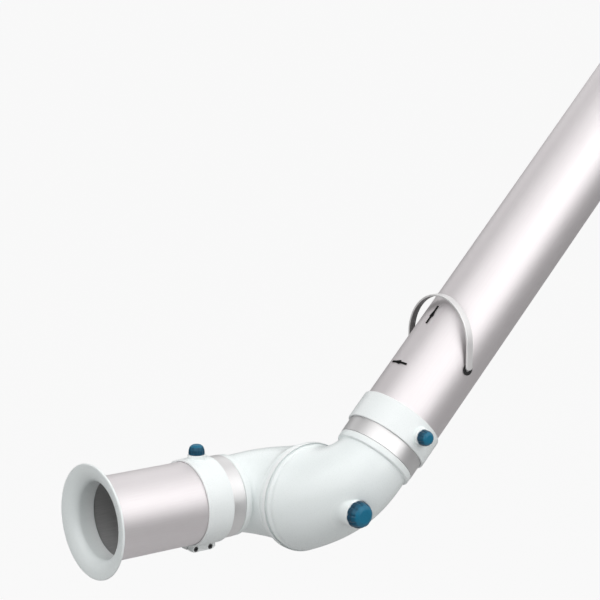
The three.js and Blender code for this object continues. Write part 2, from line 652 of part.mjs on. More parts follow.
// An arrow laid on the tube: a line with a head at its middle, wrapped round the tube.
function arrowMark(along, turn, across) {
  const half = MARK_LENGTH / 2;
  const line = MARK_LINE / 2;
  const base = -MARK_HEAD_LENGTH / 3;
  const tip = base + MARK_HEAD_LENGTH;
  const tail = Math.ceil((base + half) / MARK_STEP);
  const lead = Math.ceil((half - tip) / MARK_STEP);
  const start = THREE.MathUtils.degToRad(turn);
  const stations = [[-half, 0]];
  for (let k = 0; k <= tail; k += 1) stations.push([-half + ((base + half) * k) / tail, line]);
  stations.push([base, MARK_HEAD_WIDTH / 2]);
  stations.push([(base + tip) / 2, (MARK_HEAD_WIDTH + MARK_LINE) / 4]);
  for (let k = 0; k <= lead; k += 1) stations.push([tip + ((half - tip) * k) / lead, line]);
  stations.push([half, 0]);
  const loops = stations.map(([run, width]) => [[-1, 0], [1, 0], [1, 1], [-1, 1]].map(([side, top]) => {
    const radius = tubeRadius + FIT + (width > 0 ? top : 0.5) * MARK_THICKNESS;
    const angle = start + (across ? run : side * width) / tubeRadius;
    const x = along + (across ? side * width : run);
    return new THREE.Vector3(x, -radius * Math.sin(angle), -radius * Math.cos(angle));
  }));
  return skinned(loops, false);
}
add(damper, "open_arrow", arrowMark(OPEN_MARK_FROM_SHAFT, OPEN_MARK_TURN, false), BLACK_PAINT);
add(damper, "closed_arrow", arrowMark(SHUT_MARK_FROM_SHAFT, SHUT_MARK_TURN, true), BLACK_PAINT);

// The part hangs from the upper tube's end, so that end is the origin.
const hang = new THREE.Vector3(upperEnd, ELBOW_OFFSET, 0).applyQuaternion(upper.quaternion);
upper.position.sub(hang);
lower.position.sub(hang);

export default part;
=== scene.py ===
import math

import bmesh
import bpy
import numpy as np
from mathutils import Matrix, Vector


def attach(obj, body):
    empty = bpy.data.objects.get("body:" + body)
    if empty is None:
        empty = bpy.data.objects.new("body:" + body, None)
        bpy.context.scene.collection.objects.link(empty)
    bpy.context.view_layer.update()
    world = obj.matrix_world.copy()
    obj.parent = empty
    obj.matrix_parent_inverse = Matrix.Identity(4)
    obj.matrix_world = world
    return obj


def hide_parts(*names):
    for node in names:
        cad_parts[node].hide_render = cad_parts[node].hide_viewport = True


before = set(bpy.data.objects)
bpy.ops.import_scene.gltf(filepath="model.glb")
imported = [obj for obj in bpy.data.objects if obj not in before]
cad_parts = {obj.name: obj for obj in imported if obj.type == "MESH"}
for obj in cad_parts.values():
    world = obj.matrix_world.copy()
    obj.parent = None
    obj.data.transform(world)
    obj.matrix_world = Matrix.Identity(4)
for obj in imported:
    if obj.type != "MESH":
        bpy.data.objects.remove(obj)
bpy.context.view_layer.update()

# Sizes in millimetres, the same as in the solids
FIT = 0.3
TUBE_R = 37.5
WALL = 1.3
BORE_R = TUBE_R - WALL
SPIGOT_R = BORE_R - FIT
OFFSET = 47.6
RIM_R = 50.1
RIM_STEP = 1.0
RIM_FACE = 7.5
RIM_BASE = 1.0
RIM_TOP = 4.4
SHELL_WALL = 3.0
SHELL_RIM = RIM_R - RIM_STEP
SHELL_NECK = 34.8
NECK = 51.6
NECK_END = 59.1
SPIGOT_END = 71.7
SPIGOT_WALL = 2.7
SLEEVE = (59.4, 92.6)
GROOVE = (84.4, 90.6)
GROOVE_R = 36.7
COLLAR_AT = 87.5
COLLAR_HALF = 13.4
COLLAR_BORE = 37.8
COLLAR_R = 39.7
BOSS_R = 8.2
BOSS_TOP = 43.2
STUD_R = 2.5
LUG_END = 44.3
LUG_HALF = 9.4
LUG_INSET = 2.4
LUG_SPLIT = 1.0
SCREW_AT = 41.6
SCREW_PITCH = 15.6
TUBE_START = 94.2
UPPER_END = 525.2
NOZZLE_END = 190.2
BELL_R = 51.2
DAMPER_AT = 164.9
SEAT_R = 12.2
SEAT_TOP = 72.831
BOLT_R = 4.0
BOLT_HOLE = 4.3
WASHER = 1.6

# Facets of the large turned shapes, and of the small ones
FACETS = 192
SMALL_FACETS = 96

# Edge wear starts at a 3 mm radius and is full at 0.6 mm, as bends per metre
WEAR_START = 330
WEAR_FULL = 1630

# Metres: a millimetre, and the distances at which points are merged and slivers dropped
MM = 0.001
MERGE = 2e-6
SLIVER = 1e-6

# The limbs' axes as rows, with the elbow's pivot at the limbs' origin and the part hung from its upper end
ROOT2 = math.sqrt(0.5)
HANG = np.array([UPPER_END * ROOT2, -OFFSET, UPPER_END * ROOT2])
UPPER_LIMB = np.array([[ROOT2, 0, ROOT2], [0, -1, 0], [ROOT2, 0, -ROOT2]])
LOWER_LIMB = np.array([[-1.0, 0, 0], [0, 1, 0], [0, 0, -1]])
UPPER_TURN = (0.0, math.radians(45), 0.0)
LOWER_TURN = (0.0, 0.0, 0.0)

# Degrees of the knobs about the duct
UPPER_KNOB = -3.0
LOWER_KNOB = -90.0


def eased(corners, radii, steps=6):
    """An open line of corners with each inner corner turned into an arc. The arc touches both edges, its
    centre lies on the bisector at radius over the sine of half the angle, and one more point stands just
    outside each end of the arc so that the flats stay flat in the light."""
    p = np.asarray(corners, float)
    r = np.broadcast_to(np.asarray(radii, float), len(p) - 2)[:, None]
    back, ahead = p[:-2] - p[1:-1], p[2:] - p[1:-1]
    back /= np.linalg.norm(back, axis=1, keepdims=True)
    ahead /= np.linalg.norm(ahead, axis=1, keepdims=True)
    half = np.arccos(np.clip((back * ahead).sum(1, keepdims=True), -0.99999, 0.99999)) / 2
    middle = back + ahead
    middle /= np.linalg.norm(middle, axis=1, keepdims=True)
    centre = p[1:-1] + middle * r / np.sin(half)
    start = p[1:-1] + back * r / np.tan(half)
    end = p[1:-1] + ahead * r / np.tan(half)
    sweep = (math.pi - 2 * half)[:, None]
    t = np.linspace(0, 1, steps + 1)[None, :, None]
    arc = (start - centre)[:, None] * np.sin((1 - t) * sweep) + (end - centre)[:, None] * np.sin(t * sweep)
    arc = centre[:, None] + arc / np.sin(sweep)
    beside = 0.12 * r
    before = (start + back * beside)[:, None]
    after = (end + ahead * beside)[:, None]
    line = np.concatenate([before, arc, after], axis=1).reshape(-1, 2)
    return np.concatenate([p[:1], line, p[-1:]])


def ring_outline(corners, radii, steps=6):
    """A closed outline with every corner eased."""
    p = np.asarray(corners, float)
    return eased(np.concatenate([p[-1:], p, p[:1]]), radii, steps)[1:-1]


def turned(outline, facets=144):
    """Outline points (along, radius) carried round the X axis: along stays, and the radius turns with the
    angle."""
    line = np.asarray(outline, float)[:, None]
    angle = np.linspace(0, 2 * math.pi, facets, endpoint=False)[None]
    along = line[..., 0] + 0 * angle
    return np.stack([along, line[..., 1] * np.cos(angle), line[..., 1] * np.sin(angle)], axis=-1)


def stand_y(points):
    """Turns a shape along X so that it stands along Y."""
    return np.stack([-points[..., 1], points[..., 0], points[..., 2]], axis=-1)


def stand_z(points):
    """Turns a shape along X so that it stands along Z."""
    return np.stack([-points[..., 2], points[..., 1], points[..., 0]], axis=-1)


def round_duct(points, along, degrees=0.0):
    """Turns points about the X axis and moves them to a place on the duct axis."""
    a = math.radians(degrees)
    y = points[..., 1] * math.cos(a) - points[..., 2] * math.sin(a)
    z = points[..., 1] * math.sin(a) + points[..., 2] * math.cos(a)
    return np.stack([points[..., 0] + along, y + OFFSET, z], axis=-1)


def hexagon(across, angle):
    """Radius of a hexagon at an angle: half its width over the cosine of the angle from the nearest flat."""
    near = np.mod(angle, math.pi / 3) - math.pi / 6
    return across / 2 / np.cos(near)


def mark_points(mesh, limb, axis):
    """Three numbers for each point, which the finishes read. edge_wear is the sharpest outward bend along the
    point's edges: the change of normal over the length, from none at a 3 mm radius to full at 0.6 mm. The
    second is how far the normal points to the duct axis; the finishes use it for a duller metal and a painted
    shade on inner faces. The third is how far the normal points along the given axis; the blue knobs use it
    for a painted light on their caps."""
    count = len(mesh.vertices)
    place, normal = np.empty(count * 3, np.float32), np.empty(count * 3, np.float32)
    ends = np.empty(len(mesh.edges) * 2, np.int32)
    mesh.vertices.foreach_get("co", place)
    mesh.vertices.foreach_get("normal", normal)
    mesh.edges.foreach_get("vertices", ends)
    place, normal, ends = place.reshape(-1, 3), normal.reshape(-1, 3), ends.reshape(-1, 2)
    step = place[ends[:, 1]] - place[ends[:, 0]]
    bent = ((normal[ends[:, 1]] - normal[ends[:, 0]]) * step).sum(1) / (step * step).sum(1)
    sharp = np.zeros(count)
    np.maximum.at(sharp, ends[:, 0], bent)
    np.maximum.at(sharp, ends[:, 1], bent)
    out = (place / MM + HANG) @ limb.T - (0, OFFSET, 0)
    out[:, 0] = 0
    out /= np.maximum(np.linalg.norm(out, axis=1, keepdims=True), 1e-6)
    normal = normal @ limb.T
    marks = {
        "edge_wear": (sharp - WEAR_START) / (WEAR_FULL - WEAR_START),
        "inward_dull_and_shade": -(normal * out).sum(1),
        "cap_painted_light": normal @ np.asarray(axis, float),
    }
    for name, values in marks.items():
        held = mesh.attributes.new(name, "FLOAT", "POINT")
        held.data.foreach_set("value", np.clip(values, 0, 1).astype(np.float32))


def make_piece(name, shells, limb, body, nodes, finish, axis=(1, 0, 0)):
    """One object from grids of points in limb millimetres. Columns wrap round. Rows wrap too, so that each
    grid is a closed skin, or end in poles that are merged."""
    points, quads, start = [], [], 0
    for grid, loop in shells:
        rows, cols = grid.shape[:2]
        i, j = np.meshgrid(np.arange(rows if loop else rows - 1), np.arange(cols), indexing="ij")
        i, j = i.ravel(), j.ravel()
        i1, j1 = (i + 1) % rows, (j + 1) % cols
        quads.append(start + np.stack([i * cols + j, i * cols + j1, i1 * cols + j1, i1 * cols + j], axis=1))
        points.append(grid.reshape(-1, 3))
        start += rows * cols
    points = (np.concatenate(points) @ limb - HANG) * MM
    quads = np.concatenate(quads).astype(np.int32)
    mesh = bpy.data.meshes.new(name)
    mesh.vertices.add(len(points))
    mesh.vertices.foreach_set("co", points.astype(np.float32).ravel())
    mesh.loops.add(quads.size)
    mesh.loops.foreach_set("vertex_index", quads.ravel())
    mesh.polygons.add(len(quads))
    mesh.polygons.foreach_set("loop_start", np.arange(0, quads.size, 4, dtype=np.int32))
    mesh.update(calc_edges=True)
    shape = bmesh.new()
    shape.from_mesh(mesh)
    bmesh.ops.remove_doubles(shape, verts=shape.verts, dist=MERGE)
    bmesh.ops.dissolve_degenerate(shape, edges=shape.edges, dist=SLIVER)
    bmesh.ops.recalc_face_normals(shape, faces=shape.faces)
    shape.to_mesh(mesh)
    shape.free()
    mesh.polygons.foreach_set("use_smooth", np.ones(len(mesh.polygons), dtype=bool))
    mark_points(mesh, limb, axis)
    mesh.materials.append(finish)
    piece = bpy.data.objects.new(name, mesh)
    bpy.context.scene.collection.objects.link(piece)
    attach(piece, body)
    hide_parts(*nodes)
    return piece


# Finishes


def grained(name, dark, light, rough, scale, metal=0.0, bump=0.0, cloud=6.0, gloss=0.5, stretch=(1, 1, 1),
            turn=(0, 0, 0), over=(), dull_bore=None):
    """A finish whose colour runs between two near shades by a broad cloud, and whose roughness and fine
    relief follow a grain. stretch pulls the grain out along an axis, and turn lays it along the piece. Each
    mark of over lays its own colour on the points that carry it, broken up by the grain: some marks are worn
    edges, others are painted light or shade. dull_bore is how metallic the side towards the duct axis stays."""
    made = bpy.data.materials.new(name)
    made.use_nodes = True
    nodes, links = made.node_tree.nodes, made.node_tree.links
    shader = nodes["Principled BSDF"]
    shader.inputs["Metallic"].default_value = metal
    shader.inputs["Specular IOR Level"].default_value = gloss

    def ramp(source, low, high, first, last):
        span = nodes.new("ShaderNodeMapRange")
        for socket, value in (("From Min", low), ("From Max", high), ("To Min", first), ("To Max", last)):
            span.inputs[socket].default_value = value
        links.new(source, span.inputs["Value"])
        return span.outputs["Result"]

    def noise(source, size, detail):
        spots = nodes.new("ShaderNodeTexNoise")
        spots.inputs["Scale"].default_value = size
        spots.inputs["Detail"].default_value = detail
        links.new(source, spots.inputs["Vector"])
        return spots.outputs["Fac"]

    def maths(how, first, second):
        step = nodes.new("ShaderNodeMath")
        step.operation = how
        links.new(first, step.inputs[0])
        links.new(second, step.inputs[1])
        return step.outputs["Value"]

    def mark(named):
        held = nodes.new("ShaderNodeAttribute")
        held.attribute_name = named
        return held.outputs["Fac"]

    place = nodes.new("ShaderNodeTexCoord")
    lay = nodes.new("ShaderNodeMapping")
    lay.inputs["Rotation"].default_value = turn
    pull = nodes.new("ShaderNodeMapping")
    pull.inputs["Scale"].default_value = stretch
    links.new(place.outputs["Object"], lay.inputs["Vector"])
    links.new(lay.outputs["Vector"], pull.inputs["Vector"])
    grain = noise(pull.outputs["Vector"], scale, 3.0)
    broad = noise(lay.outputs["Vector"], cloud, 2.0)
    tint = nodes.new("ShaderNodeMix")
    tint.data_type = "RGBA"
    tint.inputs["A"].default_value = (*dark, 1)
    tint.inputs["B"].default_value = (*light, 1)
    links.new(ramp(maths("ADD", grain, broad), 0.6, 1.4, 0.0, 1.0), tint.inputs["Factor"])
    for named, colour, share in over:
        shade = nodes.new("ShaderNodeMix")
        shade.data_type = "RGBA"
        shade.inputs["B"].default_value = (*colour, 1)
        links.new(tint.outputs["Result"], shade.inputs["A"])
        broken = maths("MULTIPLY", ramp(mark(named), 0.15, 0.85, 0.0, share), ramp(grain, 0.2, 0.6, 0.75, 1.0))
        links.new(broken, shade.inputs["Factor"])
        tint = shade
    links.new(tint.outputs["Result"], shader.inputs["Base Color"])
    links.new(ramp(grain, 0.25, 0.75, *rough), shader.inputs["Roughness"])
    if dull_bore is not None:
        links.new(ramp(mark("inward_dull_and_shade"), 0.4, 0.6, metal, dull_bore), shader.inputs["Metallic"])
    relief = nodes.new("ShaderNodeBump")
    relief.inputs["Strength"].default_value = bump
    relief.inputs["Distance"].default_value = 0.0002
    links.new(grain, relief.inputs["Height"])
    links.new(relief.outputs["Normal"], shader.inputs["Normal"])
    return made


ALUMINIUM = (0.680, 0.600, 0.630), (0.705, 0.623, 0.652), (0.52, 0.55), 1500
# Worn edges lighten. Faces towards the duct axis turn a darker grey and less metallic: partly a duller inside finish,
# partly painted shade inside the tube.
WEAR_AND_INNER_SHADE = [("edge_wear", (0.80, 0.79, 0.79), 0.7), ("inward_dull_and_shade", (0.39, 0.39, 0.39), 1.0)]
DRAWN = dict(metal=1.0, bump=0.02, stretch=(0.03, 1, 1), over=WEAR_AND_INNER_SHADE, dull_bore=0.3)
upper_aluminium = grained("satin_aluminium_upper", *ALUMINIUM, turn=UPPER_TURN, **DRAWN)
lower_aluminium = grained("satin_aluminium_lower", *ALUMINIUM, turn=LOWER_TURN, **DRAWN)
sleeve_aluminium = grained(
    "turned_sleeve_aluminium", (0.670, 0.662, 0.665), (0.695, 0.687, 0.69), (0.42, 0.47), 1300,
    metal=1.0, bump=0.04, over=[("edge_wear", (0.84, 0.83, 0.83), 0.6)],
)
# The band's faces towards the duct axis take a near-black painted shade. The edge mark lightens worn edges.
band_aluminium = grained(
    "bright_band_aluminium", (0.70, 0.69, 0.69), (0.76, 0.75, 0.75), (0.40, 0.50), 1500, metal=0.45, bump=0.03,
    over=[("edge_wear", (0.88, 0.87, 0.87), 0.7), ("inward_dull_and_shade", (0.12, 0.12, 0.12), 0.95)],
)
white_plastic = grained(
    "moulded_white_plastic", (0.825, 0.872, 0.868), (0.86, 0.905, 0.903), (0.25, 0.33), 1400,
    bump=0.05, over=[("edge_wear", (0.91, 0.92, 0.92), 0.7)],
)
# Painted light and shade on the knobs: the two base blues are a painted shade for the sides, and the cap mark lays a
# much lighter painted blue on faces that point along the knob's axis. The edge mark lightens rubbed edges.
blue_plastic = grained(
    "moulded_blue_plastic", (0.002, 0.038, 0.074), (0.003, 0.052, 0.100), (0.28, 0.40), 1600,
    bump=0.10, cloud=90.0, gloss=0.3,
    over=[("cap_painted_light", (0.010, 0.155, 0.265), 1.0), ("edge_wear", (0.03, 0.19, 0.32), 0.5)],
)
black_plastic = grained(
    "moulded_black_plastic", (0.008, 0.008, 0.009), (0.016, 0.016, 0.017), (0.36, 0.50), 1600,
    bump=0.08, cloud=120.0, gloss=0.25, over=[("edge_wear", (0.04, 0.04, 0.04), 0.6)],
)
mark_black = grained(
    "matt_black_foil", (0.003, 0.003, 0.003), (0.007, 0.007, 0.007), (0.60, 0.75), 2200, bump=0.05, cloud=150.0,
    gloss=0.08,
)
friction_liner = grained(
    "pressed_friction_liner", (0.02, 0.02, 0.02), (0.055, 0.054, 0.052), (0.75, 0.95), 1200, bump=0.3, cloud=200.0
)
seal_rubber = grained(
    "seal_rubber", (0.012, 0.012, 0.012), (0.022, 0.022, 0.022), (0.70, 0.85), 1500, bump=0.15, cloud=80.0
)
nylon = grained(
    "natural_nylon", (0.66, 0.63, 0.53), (0.74, 0.71, 0.61), (0.45, 0.60), 900, bump=0.06, cloud=90.0
)
zinc_steel = grained(
    "zinc_plated_steel", (0.50, 0.51, 0.53), (0.62, 0.62, 0.62), (0.24, 0.38), 1300,
    metal=1.0, bump=0.06, cloud=110.0, over=[("edge_wear", (0.74, 0.74, 0.73), 0.7)],
)
black_steel = grained(
    "black_oxide_steel", (0.022, 0.022, 0.024), (0.05, 0.05, 0.052), (0.35, 0.50), 1500,
    metal=0.8, bump=0.1, cloud=140.0, over=[("edge_wear", (0.16, 0.16, 0.16), 0.6)],
)
turned_brass = grained(
    "turned_brass", (0.55, 0.38, 0.13), (0.66, 0.48, 0.19), (0.25, 0.36), 1400, metal=1.0, bump=0.05, cloud=110.0
)

# Duct tubes and sleeves


def tube(start, end):
    """A tube wall: an outline of the wall's four eased corners, turned about the duct axis."""
    corners = [(start, BORE_R), (start, TUBE_R), (end, TUBE_R), (end, BORE_R)]
    return round_duct(turned(ring_outline(corners, 0.3, 3), FACETS), 0)


def sleeve(gap, end_ease):
    """A sleeve wall with a rolled groove: both sides of the wall dip together, and each bend is eased. The gap
    is how far the wall stands off from its seat at the neck's bead."""
    fall, bend_ease = TUBE_R - GROOVE_R, 0.5
    outside = np.array([
        (SLEEVE[0] + gap, TUBE_R),
        (GROOVE[0] - fall, TUBE_R),
        (GROOVE[0], GROOVE_R),
        (GROOVE[1], GROOVE_R),
        (GROOVE[1] + fall, TUBE_R),
        (SLEEVE[1], TUBE_R),
    ])
    inside = outside[::-1] - (0, WALL)
    ease = [end_ease] + [bend_ease] * 10 + [end_ease]
    return round_duct(turned(ring_outline(np.concatenate([outside, inside]), ease, 4), FACETS), 0)


make_piece(
    "upper_tube_wall", [(tube(TUBE_START, UPPER_END), True)], UPPER_LIMB, "arm", ["upper_tube"],
    upper_aluminium,
)
make_piece(
    "nozzle_tube_wall", [(tube(TUBE_START, NOZZLE_END), True)], LOWER_LIMB, "nozzle", ["nozzle_tube"],
    lower_aluminium,
)
make_piece(
    "upper_sleeve_wall", [(sleeve(0.0, 0.12), True)], UPPER_LIMB, "elbow_front", ["upper_sleeve"],
    sleeve_aluminium,
)
make_piece(
    "lower_sleeve_wall", [(sleeve(0.2, 0.5), True)], LOWER_LIMB, "elbow_rear", ["lower_sleeve"],
    sleeve_aluminium,
)

# Bell mouth


def bell():
    """The bell's wall: inside, a quarter of an ellipse from the lip to the bore, outside, a second one from
    the shoulder to the lip, joined by a round lip, and a spigot with eased ends."""
    front, depth, wall, spigot_length = 198.3, 10.0, 2.2, 16.0
    shoulder, outer = NOZZLE_END + FIT, TUBE_R + FIT
    bore, lip, back = 34.5, BELL_R - wall / 2, front - wall
    a = np.linspace(0, math.pi / 2, 40)
    inside = np.stack([front - depth * (1 - np.cos(a)), lip - (lip - bore) * np.sin(a)], axis=1)
    end = shoulder - spigot_length
    spigot = eased(
        [(front - depth, bore), (end, bore), (end, SPIGOT_R), (shoulder, SPIGOT_R), (shoulder, outer),
         (shoulder + 0.6, outer)],
        [0.4, 0.4, 0.2, 0.25], 4,
    )
    b = a[:-3][::-1]
    outside = np.stack([back - (back - shoulder) * (1 - np.cos(b)), lip - (lip - outer) * np.sin(b)], axis=1)
    c = np.linspace(-math.pi / 2, math.pi / 2, 15)[1:-1]
    edge = np.stack([back + wall / 2 + wall / 2 * np.sin(c), lip + wall / 2 * np.cos(c)], axis=1)
    return round_duct(turned(np.concatenate([inside, spigot[1:], outside, edge]), FACETS), 0)


make_piece(
    "bell_mouth", [(bell(), True)], LOWER_LIMB, "nozzle", ["nozzle_flange"], white_plastic
)

# Elbow halves

# Shares of the back's height and length at which its two inner control points stand
BACK_RISE = 0.14
BACK_RUN = 0.68
BACK = np.array([
    (-SHELL_RIM, RIM_TOP),
    (-SHELL_RIM, RIM_TOP + BACK_RISE * (OFFSET + SHELL_NECK - RIM_TOP)),
    (NECK - BACK_RUN * (NECK + SHELL_RIM), OFFSET + SHELL_NECK),
    (NECK, OFFSET + SHELL_NECK),
])
FRONT = np.array([
    (SHELL_RIM, RIM_TOP),
    (SHELL_RIM, (RIM_TOP + OFFSET - SHELL_NECK) / 2),
    ((SHELL_RIM + NECK) / 2, OFFSET - SHELL_NECK),
    (NECK, OFFSET - SHELL_NECK),
])
AROUND = np.linspace(0, 2 * math.pi, FACETS, endpoint=False)
FULLNESS = 0.04


def cubic(control, share):
    """A cubic curve through its first and last control points, weighted by powers of the share."""
    s = np.asarray(share, float)[..., None]
    ends = (1 - s) ** 3 * control[0] + s**3 * control[3]
    return ends + 3 * (1 - s) ** 2 * s * control[1] + 3 * (1 - s) * s**2 * control[2]


def bend(share, angle, inset=0.0):
    """The bend's surface: at each share of the way an ellipse spans the back and front curves. Its half width
    across is the half span, a little slimmer near the rim and fuller near the neck by a sine of the share. The
    inset shrinks the ellipse."""
    back, front = cubic(BACK, share), cubic(FRONT, share)
    centre, half = (back + front) / 2, (back - front) / 2
    span = np.linalg.norm(half, axis=-1)
    reach = (span - inset) / span * np.cos(angle)
    side = span * (1 - FULLNESS * np.sin(2 * math.pi * share)) - inset
    flat = centre + half * reach[..., None]
    return np.stack([flat[..., 0], flat[..., 1], side * np.sin(angle)], axis=-1)


def bend_height(x, z):
    """Height of the back of the bend over a point of the rim plane, by Newton's steps on share and angle."""
    share, angle = np.full(x.shape, 0.45), np.zeros(x.shape)
    tiny = 1e-5
    for _ in range(25):
        here = bend(share, angle)
        by_share = (bend(share + tiny, angle) - here) / tiny
        by_angle = (bend(share, angle + tiny) - here) / tiny
        miss_x, miss_z = x - here[..., 0], z - here[..., 2]
        scale = by_share[..., 0] * by_angle[..., 2] - by_angle[..., 0] * by_share[..., 2]
        share = share + np.clip((miss_x * by_angle[..., 2] - miss_z * by_angle[..., 0]) / scale, -0.1, 0.1)
        angle = angle + np.clip((by_share[..., 0] * miss_z - by_share[..., 2] * miss_x) / scale, -0.2, 0.2)
    return bend(share, angle)[..., 1]


def rim_rows(line):
    """Loops about the hinge axis from points (radius, height)."""
    radius, height = line[:, :1], line[:, 1:]
    return np.stack([-radius * np.cos(AROUND), height + 0 * AROUND, radius * np.sin(AROUND)], axis=-1)


def neck_rows(line):
    """Loops about the duct axis from points (along, radius)."""
    along, radius = line[:, :1], line[:, 1:]
    return np.stack([along + 0 * AROUND, OFFSET + radius * np.cos(AROUND), radius * np.sin(AROUND)], axis=-1)


def smooth_step(x):
    """Three times the square less twice the cube, held between nought and one."""
    x = np.clip(x, 0, 1)
    return x * x * (3 - 2 * x)


def swell(x):
    """A rise and fall between nought and one: half of one less the cosine of the whole turn."""
    return 0.5 - 0.5 * np.cos(2 * math.pi * np.clip(x, 0, 1))


def pivot_seat():
    """The round seat of the pivot knob, blended into the bend: rows run in from the bend's surface, up a
    hollow fillet, the wall and an eased edge to the flat top, and back under the skin."""
    angle = AROUND[None]
    high = SEAT_TOP - bend_height(SEAT_R * np.cos(AROUND), SEAT_R * np.sin(AROUND))[None]
    way = np.sign(high)
    fillet = np.clip(0.45 * np.abs(high), 0.12, 3.0)
    edge = np.clip(0.4 * np.abs(high), 0.08, 0.8)
    t = np.linspace(0, math.pi / 2, 9)[:, None]
    skirt, stand, skim, hollow, chamfer = 5.0, 0.15, 0.015, 15.0, 0.4
    apron = skirt - np.array([[0.0], [0.02], [0.4], [1.0]]) + 0 * angle
    rho = SEAT_R + np.concatenate([apron, stand + fillet * (1 - np.sin(t))])
    lift = np.concatenate([skim + 0 * apron, skim + way * fillet * (1 - np.cos(t))])
    skin = bend_height(rho * np.cos(angle), rho * np.sin(angle)) + lift
    top_rho = SEAT_R + stand - edge * (1 - np.cos(t))
    top = SEAT_TOP - way * edge * (1 - np.sin(t))
    flat_rho = np.array([[10.6], [BOLT_HOLE + chamfer], [BOLT_HOLE], [BOLT_HOLE]]) + 0 * angle
    flat = SEAT_TOP - np.array([[0.0], [0.0], [chamfer], [hollow]]) + 0 * angle
    under_rho = np.array([[SEAT_R], [SEAT_R], [SEAT_R + skirt]]) + 0 * angle
    low = bend_height(under_rho * np.cos(angle), under_rho * np.sin(angle))
    under = np.stack([0 * low[0] + SEAT_TOP - hollow, low[1] - 2.6, low[2] - 0.8])
    rho = np.concatenate([rho, top_rho, flat_rho, under_rho])
    height = np.concatenate([skin, top, flat, under])
    return np.stack([rho * np.cos(angle), height, rho * np.sin(angle)], axis=-1)


def elbow_half(rim_step):
    """One elbow half as a closed skin: the rim, the bend, the neck bead, the spigot and the inside, loop after
    loop, with the pivot's seat and hub. The front half's rim, the one with a step, laps over the rear half's
    and has a narrow groove. Its bend starts with a bead and a shallow valley, a swell of the inset. The rear
    half's rim is rounded, and its bend rises smoothly from a step in. Under the pivot's seat the bend sinks
    below the seat's own skin."""
    rim, inner_rim, wall_top, over = SHELL_RIM + rim_step, RIM_R - RIM_FACE, 2.0, RIM_TOP + 0.3
    first, dense = 0.03, 0.26
    share = np.concatenate([np.linspace(first, dense, 40)[:-1], np.linspace(dense, 1, 84)])[:, None]
    if rim_step:
        lip, groove, bead = SHELL_RIM + 0.35, rim - 0.4, rim - 1.6
        low, land = RIM_TOP - 2.2, RIM_TOP - 0.8
        rim_line = eased(
            [(inner_rim, wall_top), (inner_rim, RIM_BASE), (lip, RIM_BASE), (lip, -RIM_BASE), (rim, -RIM_BASE),
             (rim, land), (groove, land), (groove, low), (bead, low), (bead, over)],
            [0.2, 0.2, 0.12, 0.5, 0.3, 0.1, 0.3, 0.3], 6,
        )
        inset = 0.6 * (1 - smooth_step((share - first) / 0.02)) + 1.1 * swell((share - 0.05) / 0.10)
        bead_end, bead_ease = NECK_END + 0.2, 0.5
    else:
        step_in = SHELL_RIM - 1.6
        rim_line = eased(
            [(inner_rim, wall_top), (inner_rim, RIM_BASE), (rim, RIM_BASE), (rim, RIM_TOP), (step_in, RIM_TOP),
             (step_in, over)],
            [0.2, 1.2, 0.9, 0.12], 8,
        )
        inset = 1.4 * (1 - smooth_step((share - first) / 0.07))
        bead_end, bead_ease = NECK_END, 1.2
    outer = bend(share, AROUND[None], inset * (0.7 + 0.3 * np.cos(AROUND[None])))
    reach = np.hypot(outer[..., 0], outer[..., 2])
    sunk, sunk_reach, sunk_ease, back_from = 2.3, 16.0, 1.6, 40
    sink = sunk * smooth_step((sunk_reach - reach) / sunk_ease)
    outer[..., 1] -= np.where(outer[..., 1] > back_from, sink, 0)
    bead_r, spigot_bore = TUBE_R - FIT, SPIGOT_R - SPIGOT_WALL
    neck = eased(
        [(NECK - 0.5, SHELL_NECK), (NECK + 0.8, SHELL_NECK), (NECK + 1.6, bead_r), (bead_end, bead_r),
         (bead_end, SPIGOT_R), (SPIGOT_END, SPIGOT_R), (SPIGOT_END, spigot_bore), (SPIGOT_END - 1, spigot_bore)],
        [0.8, 1.2, bead_ease, 0.2, 0.4, 0.4], 7,
    )[1:]
    inner = bend(np.linspace(1, 0, 40)[:, None], AROUND[None], SHELL_WALL)
    back = rim_rows(np.array([(inner_rim, RIM_TOP)]))
    skin = np.concatenate([rim_rows(rim_line), outer, neck_rows(neck), inner, back])
    hub_r, hub_top = 8.5, SEAT_TOP - 7.5
    hub = ring_outline([(RIM_BASE, BOLT_HOLE), (RIM_BASE, hub_r), (hub_top, hub_r), (hub_top, BOLT_HOLE)], 0.3, 3)
    return [(skin, True), (pivot_seat(), True), (stand_y(turned(hub, 64)), True)]


make_piece(
    "elbow_front_shell", elbow_half(RIM_STEP), UPPER_LIMB, "elbow_front", ["elbow_front_half"],
    white_plastic,
)
make_piece(
    "elbow_rear_shell", elbow_half(0), LOWER_LIMB, "elbow_rear", ["elbow_rear_half"], white_plastic
)

# Knobs


def fluted_knob(radius, height, flutes, base, bore, depth):
    """A knob along X: an eased outline, in shares of the height and radius, that closes in to a small flat cap
    and is turned about its axis. Narrow flutes sink into the side by a power of one less the cosine of the
    flute angle, and run out under the cap. The bore goes up from the base to its depth."""
    flute_share, flute_end, flute_fade, sharpness = 0.065, 0.97, 0.35, 4
    angle = np.linspace(0, 2 * math.pi, flutes * 32, endpoint=False)[None]
    corners = [(0, 0.90), (0, 0.975), (0.08, 1.0), (0.48, 0.955), (0.80, 0.82), (1.0, 0.52), (1.0, 0.2)]
    ease = np.array([0.03, 0.10, 0.5, 0.33, 0.33]) * radius
    line = eased(np.array(corners) * (height, radius), ease, 9)
    rise = line[:, :1] / height
    notch = (0.5 - 0.5 * np.cos(flutes * angle)) ** sharpness
    flute = flute_share * smooth_step((flute_end - rise) / flute_fade) * notch
    side = line[:, 1:] * (1 - flute)
    along = np.concatenate([[[depth], [depth], [0.0]], line[:, :1], [[height]]]) + base + 0 * angle
    reach = np.concatenate([0 * angle, bore + 0 * angle, bore + 0 * angle, side, 0 * angle])
    return np.stack([along, reach * np.cos(angle), reach * np.sin(angle)], axis=-1)


